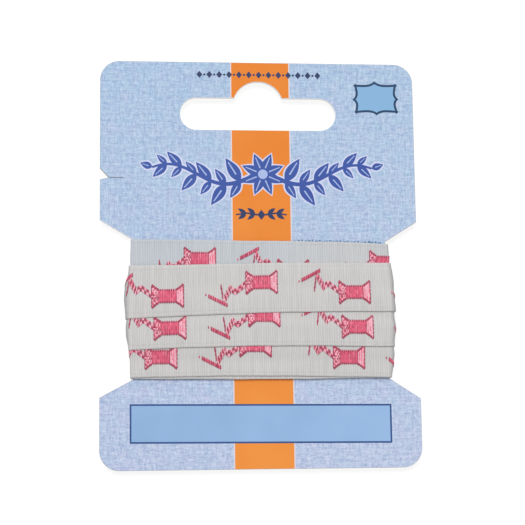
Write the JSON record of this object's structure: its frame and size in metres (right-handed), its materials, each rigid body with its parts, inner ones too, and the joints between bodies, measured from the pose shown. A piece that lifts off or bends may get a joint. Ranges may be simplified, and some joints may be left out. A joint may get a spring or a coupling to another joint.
{
  "type": "card of wound cotton ribbon",
  "caption": "Waisted hang card with a display slot, wound round its waist with overlapping bands of narrow woven cotton ribbon.",
  "frame": {"origin": "on the surface that the winding's back rests on, under the middle of the card's outline", "axes": "+X across the card to the right of its face, +Y up the card to the hang slot, +Z out of the card's printed face"},
  "size_m": [0.0644, 0.083, 0.0038],
  "materials": {
    "printed_board": "satin printed board, pale blue cloth-weave tint with an orange stripe",
    "cotton_ribbon": "finely ribbed off-white cotton with small pink woven motifs"
  },
  "bodies": {
    "root": {"card": "printed_board", "ribbon": "cotton_ribbon"}
  },
  "joints": []
}
